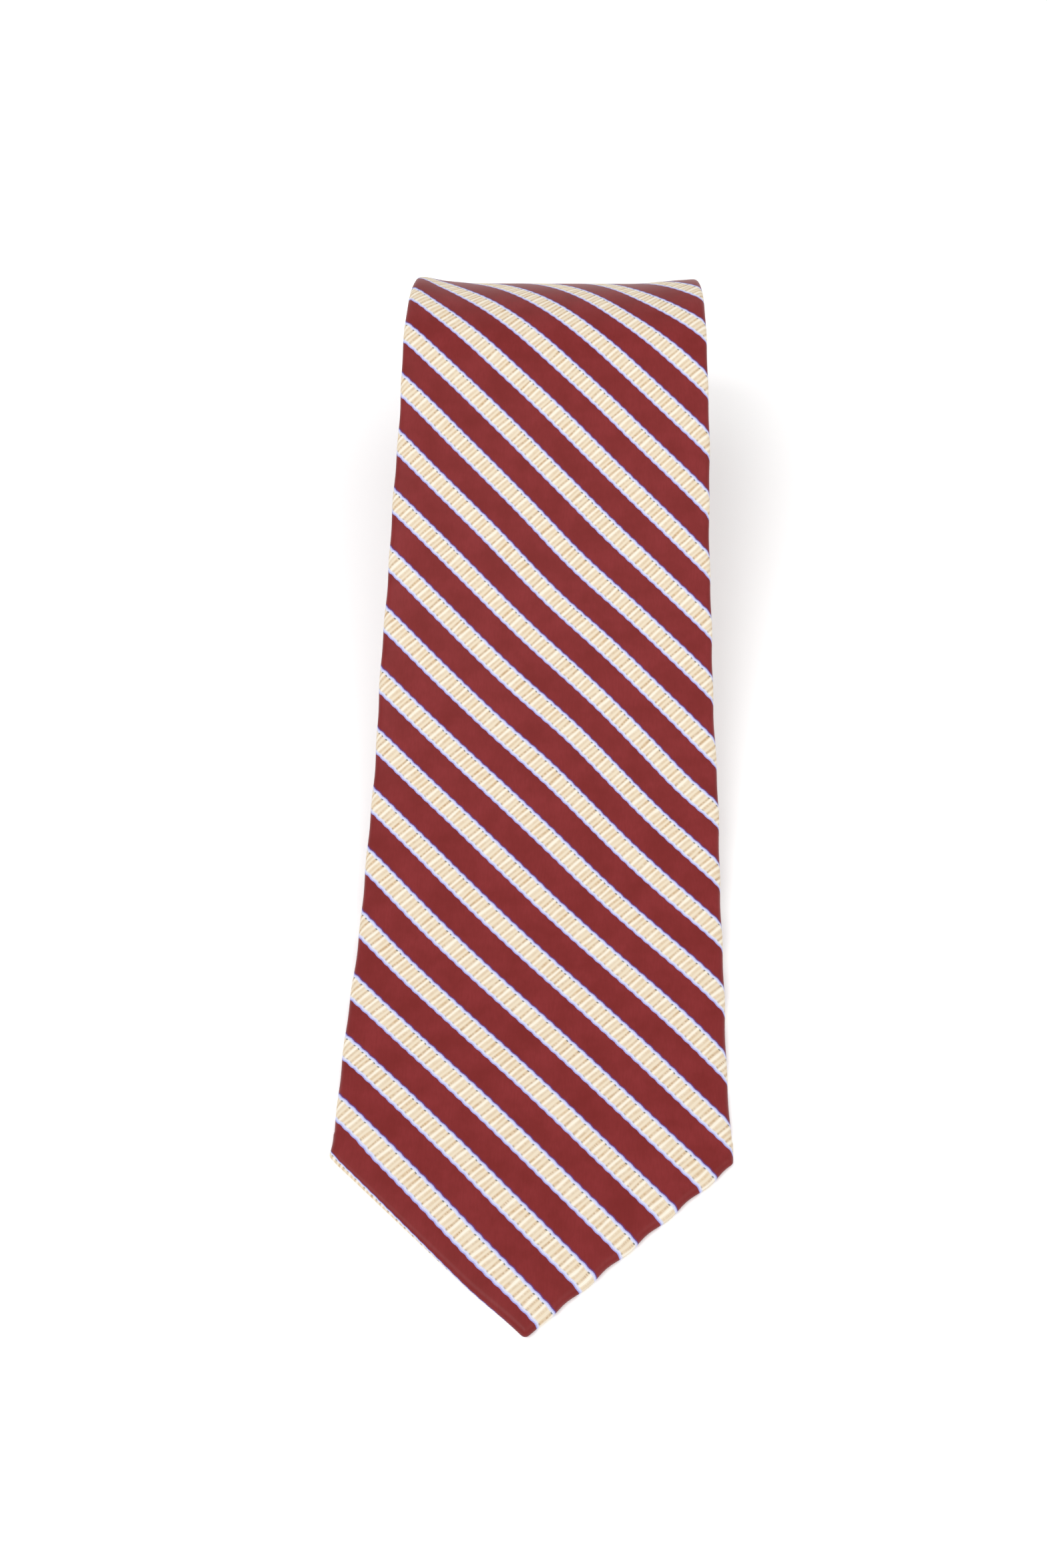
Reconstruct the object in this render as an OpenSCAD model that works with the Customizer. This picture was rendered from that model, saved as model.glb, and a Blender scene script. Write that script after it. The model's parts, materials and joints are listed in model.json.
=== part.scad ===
// Rolled silk necktie: the tail is rolled up inside, face outward, and the wide blade
// runs down from the top of the roll and lies flat on the table.
// +X is across the tie, +Y runs from the blade's point towards the roll, +Z is up.
// The origin is on the table, under the middle of the whole rolled tie.

/* [Tie] */
// Whole length of the tie from point to point
tie_len = 1450; // [1300:10:1600]
// Widest width of the blade, at its shoulders
blade_w = 95; // [70:1:110]
// Width of the blade where it passes over the roll
crest_w = 86.5; // [60:0.5:100]
// Narrowest width, at the neck
neck_w = 34; // [26:1:44]
// Widest width of the tail, at its shoulders
tail_w = 48; // [36:1:60]
// Length of the blade's point, from its tip to its shoulders
blade_point_len = 44; // [34:1:56]
// Length of the tail's point
tail_point_len = 23; // [16:1:30]

/* [Layers] */
// Whole thickness of the made-up tie
tie_t = 2.7; // [2.4:0.1:3.4]
// Thickness of the silk
silk_t = 0.4; // [0.3:0.05:0.5]
// Thickness of the tipping cloth inside each end
tipping_t = 0.3; // [0.2:0.05:0.4]
// Width of the silk turned over to the back along each point
hem_w = 7; // [5:0.5:12]
// Room between one layer and the next inside the tie
layer_gap = 0.1; // [0.05:0.01:0.15]

/* [Panels] */
// Distance from the blade's tip to the seam between blade and neck panels
blade_seam_s = 710; // [640:10:800]
// Distance from the blade's tip to the seam between neck and tail panels
tail_seam_s = 1050; // [980:10:1140]
// Distance from the blade's tip to the join in the interlining
interlining_seam_s = 900; // [820:10:960]
// Distance from the blade's tip to the top of the open window at its back
window_len = 147; // [120:1:149]
// Length of the open window at the back of the tail
tail_window_len = 80; // [60:5:110]

/* [Lay] */
// Length of the blade that lies flat on the table, from its tip
flat_len = 32; // [20:1:50]
// Length over which the blade curves up from the table
rise_len = 204; // [160:1:230]
// Steepest slope of the blade, in degrees
slope = 24.5; // [21:0.5:27]
// Room between one turn of the roll and the next
turn_gap = 0.4; // [0.35:0.05:0.8]
// How much longer than tall each half of the roll is
oval = 5.5; // [3:0.5:8]
// Half height of the empty middle of the roll
core_h = 6.5; // [6:0.5:10]

/* [Folds] */
// Distance from the blade's tip to the line where its end folds up
tip_fold_s = 150; // [150:1:160]
// Room left between two stretches that hinge on each other
fold_gap = 0.4; // [0.3:0.1:0.8]

/* [Keeper and labels] */
// Distance from the blade's tip to the middle of the keeper loop
keeper_s = 203; // [198:1:206]
// Width of the keeper's band, along the tie
keeper_w = 11; // [8:0.5:14]
// Clear width inside the keeper, across the tie
keeper_inner = 52; // [50:1:60]
// Room between the keeper's band and the back of the blade
keeper_room = 6.2; // [6:0.1:8]
// Thickness of the keeper's band
keeper_t = 0.8; // [0.6:0.1:1.2]
// Length of each sewn foot of the keeper
keeper_foot = 5; // [4:0.5:8]
// Distance from the blade's tip to the middle of the blank label
label_s = 177; // [172:1:180]
// Width of the blank label, across the tie
label_w = 44; // [30:1:56]
// Height of the blank label, along the tie
label_h = 18; // [12:1:20]
// Thickness of the label and of the care tag
label_t = 0.35; // [0.3:0.05:0.5]
// Distance from the blade's tip to the seam that the care tag hangs from
tag_s = 232; // [231:1:236]
// Width of the care tag
tag_w = 24; // [16:1:30]
// Length of the care tag
tag_len = 22; // [16:1:24]

/* [Threads] */
// Thickness of the slip stitch thread along the back seam
thread_d = 0.4; // [0.3:0.05:0.5]
// Width of the slit between the two folded edges at the back
slit_w = 0.8; // [0.6:0.1:1.2]
// Length of a bar tack, across the tie
tack_len = 9; // [6:0.5:12]
// Thickness of a bar tack
tack_d = 0.9; // [0.6:0.1:1.2]
// Distance from the blade's tip to the blade's bar tack
blade_tack_s = 156; // [153:1:160]
// Spacing of the hand stitches along a hem
stitch_pitch = 7; // [5:0.5:10]
// Length of one hand stitch
stitch_len = 2.4; // [1.5:0.1:3]

/* [Hidden] */

SILK = "#7d2230";
WOOL = "#e9e2d0";
LINING = "#5e1722";
THREAD = "#8c3440";
WOVEN = "#ece7dc";

// How far a cut runs past the face it opens.
cut_over = 1;
// Number of steps along the curve that rises from the table.
rise_steps = 34;
// Angle between two stations round the roll.
turn_step = 18;
// Distance from one turn of the roll to the next.
pitch = tie_t + turn_gap;
// Smallest half width that the tail's point narrows to.
blunt = 4;
// How far the crest lies past the line where the blade leaves the roll.
crest_run = 25;
// How far past the middle of its length the taper is half done, and how much of it.
taper_lag = 40;
taper_share = 0.54;
// How far from each seam the neck's even stretch starts, and how much wider it is there.
neck_run = 80;
blade_side_flare = 1.12;
tail_run = 60;
tail_side_flare = 1.06;
// How far past the neck panel's middle the tie is narrowest.
neck_lag = 70;

// Heights of the layers, from the middle of the tie's thickness.
front_z = tie_t / 2;
cavity_z = front_z - silk_t;
tipping_low_z = -cavity_z + layer_gap / 2;
tipping_top_z = tipping_low_z + tipping_t;
wool_low_z = tipping_top_z + layer_gap;
wool_top_z = cavity_z - layer_gap;

// Slope of the blade, t of the way along its rise.
function rise_angle(t) = slope * t * t * (3 - 2 * t);

// Stations of the free blade: [distance from the tip, y, z, angle of travel].
rise_ds = rise_len / rise_steps;
rise = [for (
    i = 0, y = flat_len, z = 0;
    i <= rise_steps;
    y = y + rise_ds * cos(rise_angle((i + 0.5) / rise_steps)),
    z = z + rise_ds * sin(rise_angle((i + 0.5) / rise_steps)),
    i = i + 1
) [flat_len + i * rise_ds, y, z, rise_angle(i / rise_steps)]];
rise_end = rise[rise_steps];

// The roll is an oval spiral. half_h is its half height where the blade leaves it.
function leave_angle(half_h) = -atan((half_h + oval) / half_h * tan(slope));
function sunk(phi, half_h) = pitch * (phi - leave_angle(half_h)) / 360;
function centre_z(half_h) = half_h - sunk(180, half_h);
function ramp_len(half_h) =
    (centre_z(half_h) + half_h * cos(leave_angle(half_h)) - rise_end[2]) / sin(slope);
function half_h_for(rolled_len) =
    (sqrt(oval * oval + 4 * (rolled_len * pitch / PI + core_h * (core_h + oval))) - oval) / 2;
function solve_half_h(half_h, tries) = tries == 0
    ? half_h
    : solve_half_h(
        half_h_for(tie_len - flat_len - rise_len - ramp_len(half_h)),
        tries - 1
    );
roll_h = solve_half_h(30, 12);
roll_l = roll_h + oval;
roll_phi = leave_angle(roll_h);
roll_z = centre_z(roll_h);
leave_s = flat_len + rise_len + ramp_len(roll_h);
roll_y = rise_end[1] + ramp_len(roll_h) * cos(slope) - roll_l * sin(roll_phi);

// Point and direction of travel at angle phi round the roll, 0 at its top.
function roll_point(phi) = [
    roll_y + (roll_l - sunk(phi, roll_h)) * sin(phi),
    roll_z + (roll_h - sunk(phi, roll_h)) * cos(phi)
];
shrink = pitch / 2 / PI;
function roll_heading(phi) = [
    (roll_l - sunk(phi, roll_h)) * cos(phi) - shrink * sin(phi),
    -(roll_h - sunk(phi, roll_h)) * sin(phi) - shrink * cos(phi)
];
function wrapped(angle) = angle - 360 * round(angle / 360);
function roll_angle(phi) =
    -phi + wrapped(atan2(roll_heading(phi)[1], roll_heading(phi)[0]) + phi);

first_phi = turn_step * (floor(roll_phi / turn_step) + 1);
turns = [for (
    phi = first_phi, s = leave_s + norm(roll_point(first_phi) - roll_point(roll_phi));
    s < tie_len + 20;
    s = s + norm(roll_point(phi + turn_step) - roll_point(phi)),
    phi = phi + turn_step
) [s, roll_point(phi)[0], roll_point(phi)[1], roll_angle(phi)]];

stations = concat(
    [[0, 0, 0, 0]],
    rise,
    [[leave_s, roll_point(roll_phi)[0], roll_point(roll_phi)[1], slope]],
    turns
);
y_at = [for (p = stations) [p[0], p[1]]];
z_at = [for (p = stations) [p[0], p[2]]];
angle_at = [for (p = stations) [p[0], p[3]]];

// The whole tie is moved so that the origin lies under its middle.
back_y = roll_point(90)[0] + front_z;
shift = [-back_y / 2, front_z];

// Place of a point at distance s from the tip and height t off the middle layer.
function place(s, t) = [
    lookup(s, y_at) + shift[0] - t * sin(lookup(s, angle_at)),
    lookup(s, z_at) + shift[1] + t * cos(lookup(s, angle_at))
];
function between(s0, s1) =
    concat([s0], [for (p = stations) if (p[0] > s0 + 0.4 && p[0] < s1 - 0.4) p[0]], [s1]);

// Half width of the tie: points at both ends, shoulders, and a narrow neck. It narrows
// evenly over the roll's crest, faster behind it, and slowly along the neck.
crest_s = leave_s + crest_run;
taper_s = (leave_s + blade_seam_s) / 2 + taper_lag;
neck_s = (blade_seam_s + tail_seam_s) / 2 + neck_lag;
side_w = [
    [blade_point_len, blade_w / 2],
    [crest_s, crest_w / 2],
    [taper_s, (crest_w + neck_w) / 2 * taper_share],
    [blade_seam_s + neck_run, neck_w / 2 * blade_side_flare],
    [neck_s, neck_w / 2],
    [tail_seam_s + tail_run, neck_w / 2 * tail_side_flare],
    [tie_len - tail_point_len, tail_w / 2]
];
tail_spread = (tail_w / 2 - blunt) / tail_point_len;
function half_w(s) = min(lookup(s, side_w), blunt + max(tie_len - s, 0) * tail_spread);

// A closed band that follows the tie from s0 to s1. The section at s is a list of
// [x, t] points, t being the height off the middle layer.
module band(s0, s1, section) {
    spots = between(s0, s1);
    rings = [for (s = spots) section(s)];
    n = len(rings[0]);
    last = len(spots) - 1;
    points = [for (k = [0 : last]) for (q = rings[k]) concat([q[0]], place(spots[k], q[1]))];
    sides = [for (k = [0 : last - 1]) for (j = [0 : n - 1]) for (half = [0, 1])
        half == 0
            ? [k * n + j, (k + 1) * n + j, (k + 1) * n + (j + 1) % n]
            : [k * n + j, (k + 1) * n + (j + 1) % n, k * n + (j + 1) % n]];
    ends = [[for (j = [0 : n - 1]) j], [for (j = [n - 1 : -1 : 0]) last * n + j]];
    polyhedron(points, concat(sides, ends), convexity = 10);
}

// Section of a flat strip of half width w between heights t0 and t1.
function strip_section(w, t0, t1) = [[-w, t0], [w, t0], [w, t1], [-w, t1]];

// Section of the silk: one layer in front, both edges folded to the back, and a gap of
// half width g between the folded edges.
function silk_section(w, g) = let (wi = w - silk_t) [
    [-w, front_z], [-w, -front_z], [-g, -front_z], [-g, -cavity_z], [-wi, -cavity_z],
    [-wi, cavity_z], [wi, cavity_z], [wi, -cavity_z], [g, -cavity_z], [g, -front_z],
    [w, -front_z], [w, front_z]
];

// Half width of the gap at the back of the tail: a slit that opens to the tail's window.
tail_window_s = tie_len - tail_window_len;
function tail_gap(s) = let (
    open = max(min(half_w(s) - hem_w / 2, (s - tail_window_s) * 0.4), 0)
) max(slit_w / 2, open);

module silk_band(s0, s1) {
    band(s0, s1, function (s) silk_section(half_w(s), slit_w / 2));
}

module wool_band(s0, s1) {
    band(s0, s1, function (s)
        strip_section(half_w(s) - inset, wool_low_z, wool_top_z));
}

// Side view of a layer of the blade between heights t0 and t1, drawn as [y, z].
module side_view(s0, s1, t0, t1) {
    spots = between(s0, s1);
    polygon(concat(
        [for (s = spots) place(s, t0)],
        [for (k = [len(spots) - 1 : -1 : 0]) place(spots[k], t1)]
    ));
}

// Plan of the blade from its tip to s1, set in by d from every edge.
point_angle = atan(blade_w / 2 / blade_point_len);
function plan_y(s) = place(s, 0)[0];
module plan(s1, d) {
    tip_y = plan_y(0) + d / sin(point_angle);
    shoulder_x = blade_w / 2 - d;
    shoulder_y = tip_y + shoulder_x / tan(point_angle);
    spots = between(blade_point_len + 8, s1);
    polygon(concat(
        [[0, tip_y], [shoulder_x, shoulder_y]],
        [for (s = spots) [half_w(s) - d, plan_y(s)]],
        [for (k = [len(spots) - 1 : -1 : 0]) [d - half_w(spots[k]), plan_y(spots[k])]],
        [[-shoulder_x, shoulder_y]]
    ));
}

module side_solid(s1, t0, t1) {
    rotate([90, 0, 90])
        translate([0, 0, -blade_w])
            linear_extrude(2 * blade_w)
                side_view(0, s1, t0, t1);
}

module plan_solid() {
    translate([0, 0, -2 * tie_t])
        linear_extrude(roll_h)
            children();
}

// A layer of the pointed end of the blade: its side view cut to the blade's plan.
module point_layer(s1, t0, t1, d) {
    intersection() {
        side_solid(s1, t0, t1);
        plan_solid()
            plan(s1 + 8, d);
    }
}

// Cuts the window at the back of the blade: a kite that closes at the back seam.
module window_cut() {
    tip_y = plan_y(0) + hem_w / sin(point_angle);
    side_x = blade_w / 2 - hem_w;
    side_y = tip_y + side_x / tan(point_angle);
    slit = slit_w / 2;
    intersection() {
        side_solid(tip_end_s + cut_over, -front_z - cut_over, -cavity_z + layer_gap);
        plan_solid()
            polygon([
                [0, tip_y],
                [side_x, side_y],
                [slit, plan_y(window_len)],
                [slit, plan_y(tip_fold_s + 8)],
                [-slit, plan_y(tip_fold_s + 8)],
                [-slit, plan_y(window_len)],
                [-side_x, side_y]
            ]);
    }
}

// Places its children on the back of the blade at distance s: local +Y along the tie,
// local +Z towards the front, local z = 0 on the back face.
module on_back(s) {
    spot = place(s, -front_z);
    translate([0, spot[0], spot[1]])
        rotate([lookup(s, angle_at), 0, 0])
            children();
}

// ---- Silk panels ----

tip_end_s = tip_fold_s - fold_gap / 2;
slope_start_s = tip_fold_s + fold_gap / 2;
slope_end_s = leave_s - fold_gap / 2;
rolled_start_s = leave_s + fold_gap / 2;
// Room at a sewn seam between two panels.
seam_room = 0.6;

module blade_silk_tip() {
    color(SILK)
        difference() {
            point_layer(tip_end_s, -front_z, front_z, 0);
            point_layer(tip_end_s + cut_over, -cavity_z, cavity_z, silk_t);
            window_cut();
        }
}

module blade_silk_slope() {
    color(SILK)
        silk_band(slope_start_s, slope_end_s);
}

module blade_silk_rolled() {
    color(SILK)
        silk_band(rolled_start_s, blade_seam_s - seam_room / 2);
}

module neck_silk() {
    color(SILK)
        silk_band(blade_seam_s + seam_room / 2, tail_seam_s - seam_room / 2);
}

module tail_silk() {
    color(SILK)
        band(tail_seam_s + seam_room / 2, tie_len, function (s)
            silk_section(half_w(s), tail_gap(s)));
}

// ---- Interlining and tipping ----

// Room all round between the silk and what it encloses.
inset = silk_t + layer_gap;

module wide_interlining_tip() {
    color(WOOL)
        point_layer(tip_end_s, wool_low_z, wool_top_z, inset);
}

module wide_interlining_slope() {
    color(WOOL)
        wool_band(slope_start_s, slope_end_s);
}

module wide_interlining_rolled() {
    color(WOOL)
        wool_band(rolled_start_s, interlining_seam_s - seam_room / 2);
}

module narrow_interlining() {
    color(WOOL)
        wool_band(interlining_seam_s + seam_room / 2, tie_len);
}

module blade_tipping() {
    color(LINING)
        point_layer(window_len - 1, tipping_low_z, tipping_top_z, inset);
}

module tail_tipping() {
    color(LINING)
        band(tail_window_s + 2, tie_len, function (s)
            strip_section(half_w(s) - inset, tipping_low_z, tipping_top_z));
}

// ---- Threads ----

stitch_t = silk_t - layer_gap;
stitch_w = 0.3;
seam_stitch_len = seam_room - 2 * layer_gap;
// Spacing of the stitches along a seam.
seam_pitch = 4;

// One flat stitch along +X, standing on z = 0.
module stitch(length) {
    translate([-length / 2, -stitch_w / 2, 0])
        cube([length, stitch_w, stitch_t]);
}

// Hand stitches along the hem of the blade's point, just inside the window.
module blade_tipping_stitches() {
    tip_y = plan_y(0) + (hem_w + stitch_w) / sin(point_angle);
    hem_len = (blade_w / 2 - hem_w) / sin(point_angle);
    count = floor(hem_len / stitch_pitch - 0.5);
    color(THREAD)
        for (side = [0, 1])
            for (k = [0 : count - 1])
                mirror([side, 0, 0])
                    translate([0, tip_y, layer_gap / 2])
                        rotate(90 - point_angle)
                            translate([(k + 0.8) * stitch_pitch, 0, 0])
                                stitch(stitch_len);
}

module tail_tipping_stitches() {
    count = floor((tail_window_len - tail_point_len - hem_w) / stitch_pitch);
    color(THREAD)
        for (side = [-1, 1])
            for (k = [1 : count]) {
                s = tail_window_s + hem_w / 2 + k * stitch_pitch;
                band(s, s + stitch_len, function (q) let (
                    x = side * (tail_gap(q) - stitch_w)
                ) [
                    [x - stitch_w / 2, -front_z + layer_gap / 2],
                    [x + stitch_w / 2, -front_z + layer_gap / 2],
                    [x + stitch_w / 2, -cavity_z - layer_gap / 2],
                    [x - stitch_w / 2, -cavity_z - layer_gap / 2]
                ]);
            }
}

// The rows of stitches, in front and behind, that join two silk panels at s.
module seam_stitches(s) {
    count = floor((half_w(s) - inset) / seam_pitch);
    color(THREAD)
        for (side = [-1, 1])
            for (k = [0 : count - 1])
                for (low_t = [-front_z, cavity_z]) {
                    x = side * (k + 0.5) * seam_pitch;
                    band(
                        s - seam_stitch_len / 2,
                        s + seam_stitch_len / 2,
                        function (q) [
                            [x - stitch_len / 2, low_t],
                            [x + stitch_len / 2, low_t],
                            [x + stitch_len / 2, low_t + silk_t],
                            [x - stitch_len / 2, low_t + silk_t]
                        ]
                    );
                }
}

module blade_seam_stitches() {
    seam_stitches(blade_seam_s);
}

module tail_seam_stitches() {
    seam_stitches(tail_seam_s);
}

module interlining_seam_stitches() {
    section = strip_section(
        half_w(interlining_seam_s) - inset, wool_low_z, wool_top_z);
    color(THREAD)
        band(
            interlining_seam_s - seam_stitch_len / 2,
            interlining_seam_s + seam_stitch_len / 2,
            function (q) section
        );
}

// The thread that closes the back, lying in the slit between the folded edges.
module slip_stitch(s0, s1) {
    color(THREAD)
        band(s0, s1, function (s)
            strip_section(thread_d / 2, -front_z, -front_z + thread_d));
}

tail_tack_s = tail_window_s - 4;

module slip_stitch_slope() {
    slip_stitch(slope_start_s, slope_end_s);
}

module slip_stitch_rolled() {
    slip_stitch(rolled_start_s, tail_tack_s - 3);
}

module blade_bar_tack() {
    color(THREAD)
        on_back(blade_tack_s)
            translate([-tack_len / 2, 0, -tack_d / 2 - layer_gap])
                rotate([0, 90, 0])
                    cylinder(d = tack_d, h = tack_len, $fn = 24);
}

module tail_bar_tack() {
    tack_w = slit_w - 2 * layer_gap;
    color(THREAD)
        band(tail_tack_s - 2, tail_tack_s + 2, function (s)
            strip_section(tack_w / 2, -front_z, -cavity_z));
}

// ---- Keeper and labels ----

module keeper_loop() {
    top = -layer_gap;
    flat_x = keeper_inner / 2;
    foot_x = flat_x + keeper_room;
    end_x = foot_x + keeper_foot;
    low = -keeper_room;
    half = [
        [end_x, top],
        [end_x, top - keeper_t],
        [foot_x + keeper_t / 2, top - keeper_t],
        [flat_x + keeper_t / 2, low - keeper_t]
    ];
    inner = [[flat_x, low], [foot_x, top]];
    color(SILK)
        on_back(keeper_s)
            rotate([90, 0, 0])
                linear_extrude(keeper_w, center = true)
                    polygon(concat(
                        half,
                        [for (k = [3 : -1 : 0]) [-half[k][0], half[k][1]]],
                        [[-foot_x, top], [-flat_x, low]],
                        inner
                    ));
}

module keeper_tacks() {
    tack_x = keeper_inner / 2 + keeper_room + keeper_foot / 2;
    thin_d = tack_d * 0.6;
    tack_z = -layer_gap - keeper_t - layer_gap / 2 - thin_d / 2;
    color(THREAD)
        on_back(keeper_s)
            for (side = [-1, 1])
                translate([side * tack_x, keeper_w / 2 - 1, tack_z])
                    rotate([90, 0, 0])
                        cylinder(d = thin_d, h = keeper_w - 2, $fn = 24);
}

label_top = -1.5 * layer_gap;

module blank_label() {
    color(WOVEN)
        on_back(label_s)
            translate([-label_w / 2, -label_h / 2, label_top - label_t])
                cube([label_w, label_h, label_t]);
}

module label_stitches() {
    color(THREAD)
        on_back(label_s)
            for (side = [-1, 1])
                for (along = [-1 : 1])
                    translate([
                        side * (label_w / 2 - 1.5),
                        along * label_h / 3,
                        label_top - label_t - stitch_t - layer_gap / 2
                    ])
                        rotate(90)
                            stitch(stitch_len);
}

// The care tag hangs from a thread across the back of the blade.
tag_seam = layer_gap + thread_d / 2;
tag_hinge = place(tag_s, -front_z - tag_seam);

module care_tag() {
    color(WOVEN)
        translate([-tag_w / 2, tag_hinge[0] - label_t / 2, tag_hinge[1] - tag_len - thread_d])
            cube([tag_w, label_t, tag_len]);
}

module care_tag_stitches() {
    color(THREAD)
        translate([-tag_w / 2, tag_hinge[0], tag_hinge[1]])
            rotate([0, 90, 0])
                cylinder(d = thread_d, h = tag_w, $fn = 24);
}

blade_silk_tip();
blade_silk_slope();
blade_silk_rolled();
neck_silk();
tail_silk();
wide_interlining_tip();
wide_interlining_slope();
wide_interlining_rolled();
narrow_interlining();
blade_tipping();
tail_tipping();
blade_tipping_stitches();
tail_tipping_stitches();
blade_seam_stitches();
tail_seam_stitches();
interlining_seam_stitches();
slip_stitch_slope();
slip_stitch_rolled();
blade_bar_tack();
tail_bar_tack();
keeper_loop();
keeper_tacks();
blank_label();
label_stitches();
care_tag();
care_tag_stitches();
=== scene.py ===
"""A rolled silk necktie: the striped blade runs off the top of the roll onto the table.

Sizes are in millimetres until a mesh is made. A place on the tie is (x, s, t): x across
the tie, s the distance from the blade's tip along its middle layer, and t the height off
that layer, towards the front.
"""
import json
import math

import bpy
import numpy as np
from mathutils import Matrix, Vector


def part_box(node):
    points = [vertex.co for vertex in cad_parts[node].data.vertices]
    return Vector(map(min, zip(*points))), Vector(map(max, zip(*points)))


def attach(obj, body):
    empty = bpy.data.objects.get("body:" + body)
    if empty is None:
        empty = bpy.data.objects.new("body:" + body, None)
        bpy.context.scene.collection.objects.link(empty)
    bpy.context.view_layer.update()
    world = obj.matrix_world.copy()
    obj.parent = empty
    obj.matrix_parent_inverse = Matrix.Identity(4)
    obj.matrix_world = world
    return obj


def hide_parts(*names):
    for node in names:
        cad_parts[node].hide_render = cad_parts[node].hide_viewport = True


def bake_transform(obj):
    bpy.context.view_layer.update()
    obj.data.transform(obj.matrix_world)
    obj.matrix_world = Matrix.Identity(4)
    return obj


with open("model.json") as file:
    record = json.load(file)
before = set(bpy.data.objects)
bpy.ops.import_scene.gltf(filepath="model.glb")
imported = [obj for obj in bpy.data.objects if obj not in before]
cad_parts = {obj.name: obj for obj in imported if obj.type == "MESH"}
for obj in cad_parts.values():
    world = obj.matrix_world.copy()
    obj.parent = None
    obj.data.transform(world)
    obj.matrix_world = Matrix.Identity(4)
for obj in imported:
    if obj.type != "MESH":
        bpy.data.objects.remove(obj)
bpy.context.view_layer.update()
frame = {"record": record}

MM = 0.001
TAU = 2 * math.pi

# The made-up tie.
TIE_LEN = 1450.0
TIE_T = 2.7
HALF_T = TIE_T / 2
SILK_T = 0.35
BLADE_HALF_W = 47.5
POINT_LEN = 44.0
POINT_ANGLE = math.atan(BLADE_HALF_W / POINT_LEN)
HEM_W = 7.0
WINDOW_TOP = 147.0
SLIT = 0.4
HALF_WIDTHS = (
    (44, 47.5), (301, 43.25), (533, 32.5), (790, 19.0), (950, 17), (1110, 18), (1427, 24)
)
TAIL_END_HALF_W = 4.0
TAIL_POINT_LEN = 23.0
TAIL_WINDOW_S = 1370.0

# How it lies.
FLAT_LEN = 32.0
RISE_LEN = 204.0
SLOPE = math.radians(24.5)
PITCH = TIE_T + 0.4
OVAL = 5.5
CORE_H = 6.5

# Where one piece of cloth ends and the next begins.
POINT_PIECE_END = 200.0
SLOPE_PIECE_END = 340.0
BLADE_SEAM_S = 710.0
WOOL_SEAM_S = 900.0
TAIL_SEAM_S = 1050.0
SEAM_HALF_GAP = 0.3
TIP_FOLD_S = 150.0


# ---- The tie's path, seen from the side ----

def tie_path():
    """Distance, y, z and slope of the middle layer, from the tip to the rolled-in tail."""
    steps = 340
    step = RISE_LEN / steps
    def climb(part):
        return SLOPE * part * part * (3 - 2 * part)
    mids = climb((np.arange(steps) + 0.5) / steps)
    rise_y = FLAT_LEN + np.r_[0, np.cumsum(np.cos(mids) * step)]
    rise_z = np.r_[0, np.cumsum(np.sin(mids) * step)]
    half_h = 30.0
    for _ in range(13):
        leave = -math.atan((half_h + OVAL) / half_h * math.tan(SLOPE))
        centre_z = half_h - PITCH * (math.pi - leave) / TAU
        ramp = (centre_z + half_h * math.cos(leave) - rise_z[-1]) / math.sin(SLOPE)
        rolled = (TIE_LEN - FLAT_LEN - RISE_LEN - ramp) * PITCH / math.pi
        solved = (math.sqrt(OVAL**2 + 4 * (rolled + CORE_H * (CORE_H + OVAL))) - OVAL) / 2
        half_h, last_h = solved, half_h
    half_h = last_h
    half_l = half_h + OVAL
    centre_y = rise_y[-1] + ramp * math.cos(SLOPE) - half_l * math.sin(leave)
    phi = leave + np.radians(np.arange(0, 3040))
    sunk = PITCH * (phi - leave) / TAU
    drift = PITCH / TAU
    roll_y = centre_y + (half_l - sunk) * np.sin(phi)
    roll_z = centre_z + (half_h - sunk) * np.cos(phi)
    head_y = (half_l - sunk) * np.cos(phi) - drift * np.sin(phi)
    head_z = -(half_h - sunk) * np.sin(phi) - drift * np.cos(phi)
    leave_s = FLAT_LEN + RISE_LEN + ramp
    along = np.r_[0, np.cumsum(np.hypot(np.diff(roll_y), np.diff(roll_z)))]
    rise_s = FLAT_LEN + step * np.arange(steps + 1)
    s = np.r_[0, rise_s, leave_s + along]
    y = np.r_[0, rise_y, roll_y]
    z = np.r_[0, rise_z, roll_z]
    slope = np.r_[0, climb(np.arange(steps + 1) / steps), np.unwrap(np.arctan2(head_z, head_y))]
    turn = np.r_[leave - 4, leave - 4, leave + (rise_s[1:] - leave_s) / 40, phi]
    return s, y, z, slope, turn


PATH_S, PATH_Y, PATH_Z, PATH_SLOPE, PATH_TURN = tie_path()
PATH_Y = PATH_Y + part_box("blade_silk_tip")[0].y / MM
PATH_Z = PATH_Z + HALF_T


def place(x, s, t):
    """Points in millimetres for places (x, s, t) on the tie."""
    x, s, t = np.broadcast_arrays(x, s, t)
    slope = np.interp(s, PATH_S, PATH_SLOPE)
    y = np.interp(s, PATH_S, PATH_Y) - t * np.sin(slope)
    z = np.interp(s, PATH_S, PATH_Z) + t * np.cos(slope)
    return np.stack([x, y, z], axis=-1)


def smooth_widths():
    """Half width at every millimetre, with the taper's corners eased."""
    reach = 30
    knots = np.array(HALF_WIDTHS)
    spots = np.arange(-reach, TIE_LEN + reach + 1)
    raw = np.interp(spots, knots[:, 0], knots[:, 1])
    kernel = np.ones(2 * reach + 1) / (2 * reach + 1)
    return np.convolve(raw, kernel, mode="valid")


WIDTHS = smooth_widths()
TAIL_SPREAD = (HALF_WIDTHS[-1][1] - TAIL_END_HALF_W) / TAIL_POINT_LEN


def half_width(s):
    point = TAIL_END_HALF_W + np.maximum(TIE_LEN - s, 0) * TAIL_SPREAD
    return np.minimum(np.interp(s, np.arange(len(WIDTHS)), WIDTHS), point)


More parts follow.
